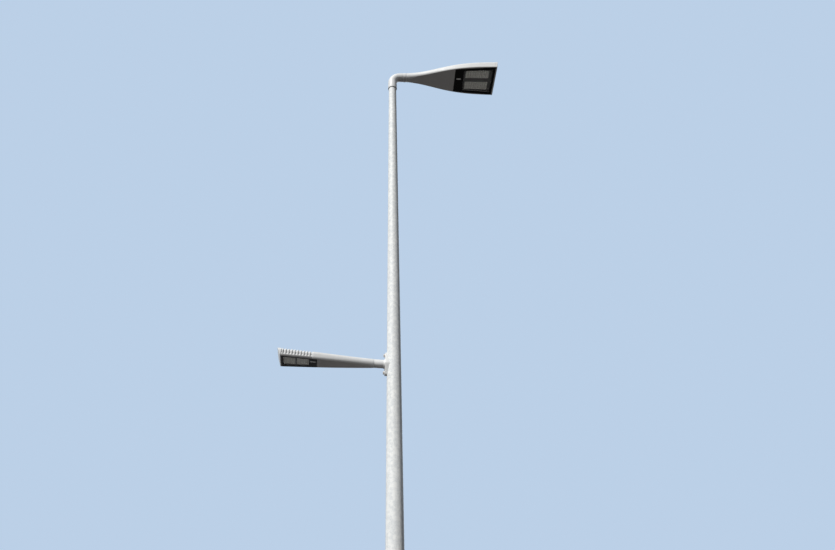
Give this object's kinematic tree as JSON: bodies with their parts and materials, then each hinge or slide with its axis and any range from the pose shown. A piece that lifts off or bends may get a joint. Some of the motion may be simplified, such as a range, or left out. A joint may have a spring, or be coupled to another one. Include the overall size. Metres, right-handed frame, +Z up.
{
  "type": "street light with two lamp heads",
  "caption": "Tapered galvanised street light pole on a bolted base plate, with a wide lamp head on a cast elbow at the top and a smaller ribbed lamp head on a bolted bracket lower down.",
  "frame": {"origin": "centre of the base plate's underside, on the pole's axis", "axes": "+Z up the pole; +X the way the upper lamp head points"},
  "size_m": [2.0862, 0.433, 7.1283],
  "materials": {
    "galvanised_steel": "hot-dip galvanised, matt with a faint spangle",
    "light_grey_paint": "smooth light grey powder coat",
    "black_frame": "gloss black",
    "lamp_glass": "clear flat toughened glass",
    "board_white": "matt white",
    "tray_grey": "matt dark grey",
    "screw_steel": "plain stainless steel"
  },
  "bodies": {
    "root": {"base_plate": "galvanised_steel", "base_weld": "galvanised_steel", "pole_shaft": "galvanised_steel", "door_frame": "galvanised_steel", "door_cover": "galvanised_steel", "door_locks": "screw_steel", "elbow_bracket": "light_grey_paint", "elbow_grub_screws": "screw_steel", "upper_clamp_ring": "light_grey_paint", "upper_clamp_screws": "screw_steel", "upper_housing": "light_grey_paint", "upper_end_cap": "light_grey_paint", "upper_glass_frame": "black_frame", "upper_glass": "lamp_glass", "upper_gear_tray": "tray_grey", "upper_led_board_near": "board_white", "upper_led_board_far": "board_white", "upper_catch": "screw_steel", "bracket_flange": "light_grey_paint", "bracket_spigot": "light_grey_paint", "bracket_bolts": "screw_steel", "lower_gear_housing": "light_grey_paint", "lower_heat_sink": "light_grey_paint", "lower_end_lip": "light_grey_paint", "lower_glass_frame": "black_frame", "lower_glass": "lamp_glass", "lower_gear_tray": "tray_grey", "lower_led_module_tip": "board_white", "lower_led_module_arm": "board_white", "lower_catch": "screw_steel"}
  },
  "joints": []
}
